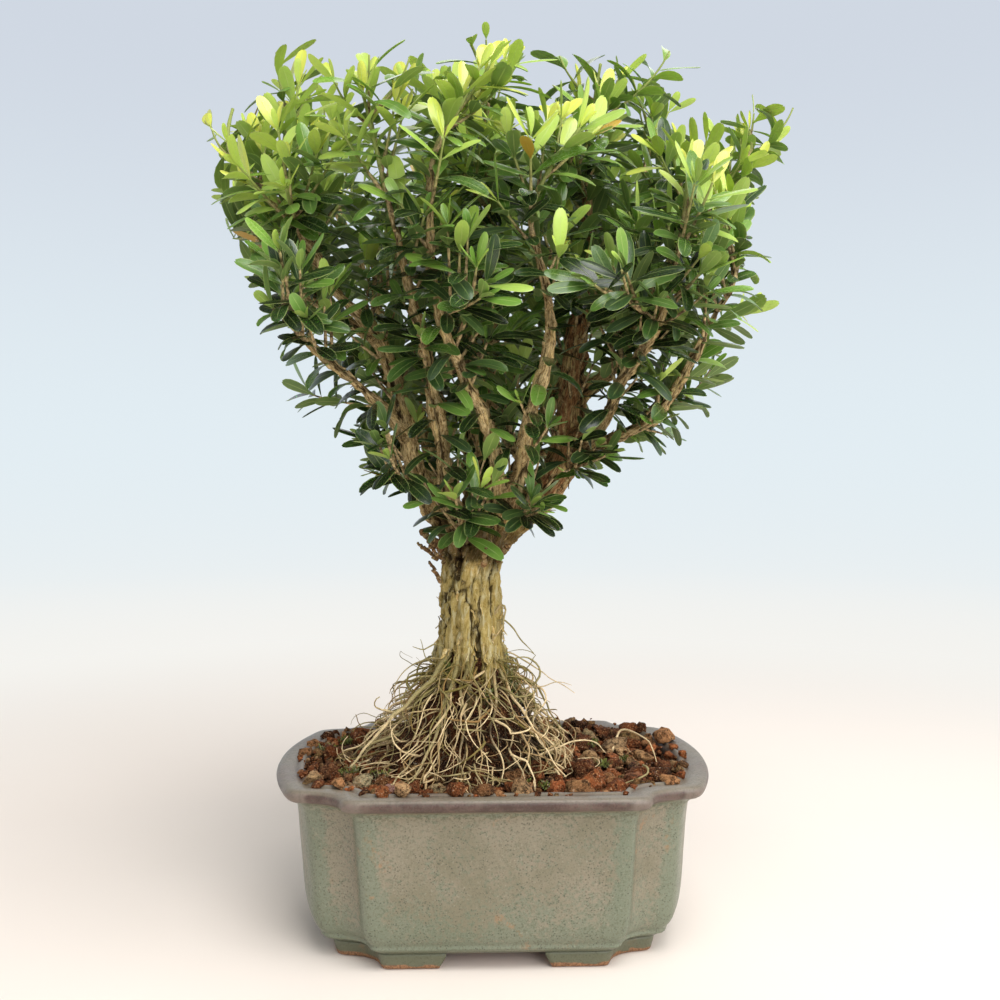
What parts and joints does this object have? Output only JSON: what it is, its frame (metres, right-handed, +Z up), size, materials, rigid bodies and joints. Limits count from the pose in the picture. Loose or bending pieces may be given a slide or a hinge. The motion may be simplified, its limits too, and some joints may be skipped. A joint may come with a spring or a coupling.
{
  "type": "bonsai tree",
  "caption": "Harland boxwood bonsai with a fluted trunk, surface roots and a broad leafy crown, in a green glazed pot with indented corners",
  "frame": {"origin": "on the ground under the middle of the whole, 11.8 mm behind and 2.9 mm to the right of the middle of the pot", "axes": "+Z up along the trunk, +X along the pot's long side, -Y to the front"},
  "size_m": [0.1994, 0.1618, 0.291],
  "materials": {
    "glaze": "celadon green glaze with dark speckles",
    "net": "black plastic net",
    "soil": "red-brown lava and clay granules",
    "bark": "pale corky bark and straw-coloured roots",
    "leaf": "leathery green leaves on green twigs"
  },
  "bodies": {
    "root": {"pot": "glaze", "drain_net_left": "net", "drain_net_right": "net", "soil": "soil", "trunk_and_roots": "bark", "leafy_twig_01": "leaf", "leafy_twig_02": "leaf", "leafy_twig_03": "leaf", "leafy_twig_04": "leaf", "leafy_twig_05": "leaf", "leafy_twig_06": "leaf", "leafy_twig_07": "leaf", "leafy_twig_08": "leaf", "leafy_twig_09": "leaf", "leafy_twig_10": "leaf", "leafy_twig_11": "leaf", "leafy_twig_12": "leaf", "leafy_twig_13": "leaf", "leafy_twig_14": "leaf", "leafy_twig_15": "leaf", "leafy_twig_16": "leaf", "leafy_twig_17": "leaf", "leafy_twig_18": "leaf", "leafy_twig_19": "leaf", "leafy_twig_20": "leaf", "leafy_twig_21": "leaf", "leafy_twig_22": "leaf", "leafy_twig_23": "leaf", "leafy_twig_24": "leaf", "leafy_twig_25": "leaf", "leafy_twig_26": "leaf", "leafy_twig_27": "leaf", "leafy_twig_28": "leaf", "leafy_twig_29": "leaf", "leafy_twig_30": "leaf", "leafy_twig_31": "leaf", "leafy_twig_32": "leaf", "leafy_twig_33": "leaf", "leafy_twig_34": "leaf", "leafy_twig_35": "leaf", "leafy_twig_36": "leaf", "leafy_twig_37": "leaf", "leafy_twig_38": "leaf", "leafy_twig_39": "leaf", "leafy_twig_40": "leaf", "leafy_twig_41": "leaf", "leafy_twig_42": "leaf", "leafy_twig_43": "leaf", "leafy_twig_44": "leaf", "leafy_twig_45": "leaf", "leafy_twig_46": "leaf", "leafy_twig_47": "leaf", "leafy_twig_48": "leaf", "leafy_twig_49": "leaf", "leafy_twig_50": "leaf", "leafy_twig_51": "leaf", "leafy_twig_52": "leaf", "leafy_twig_53": "leaf", "leafy_twig_54": "leaf", "leafy_twig_55": "leaf"}
  },
  "joints": []
}
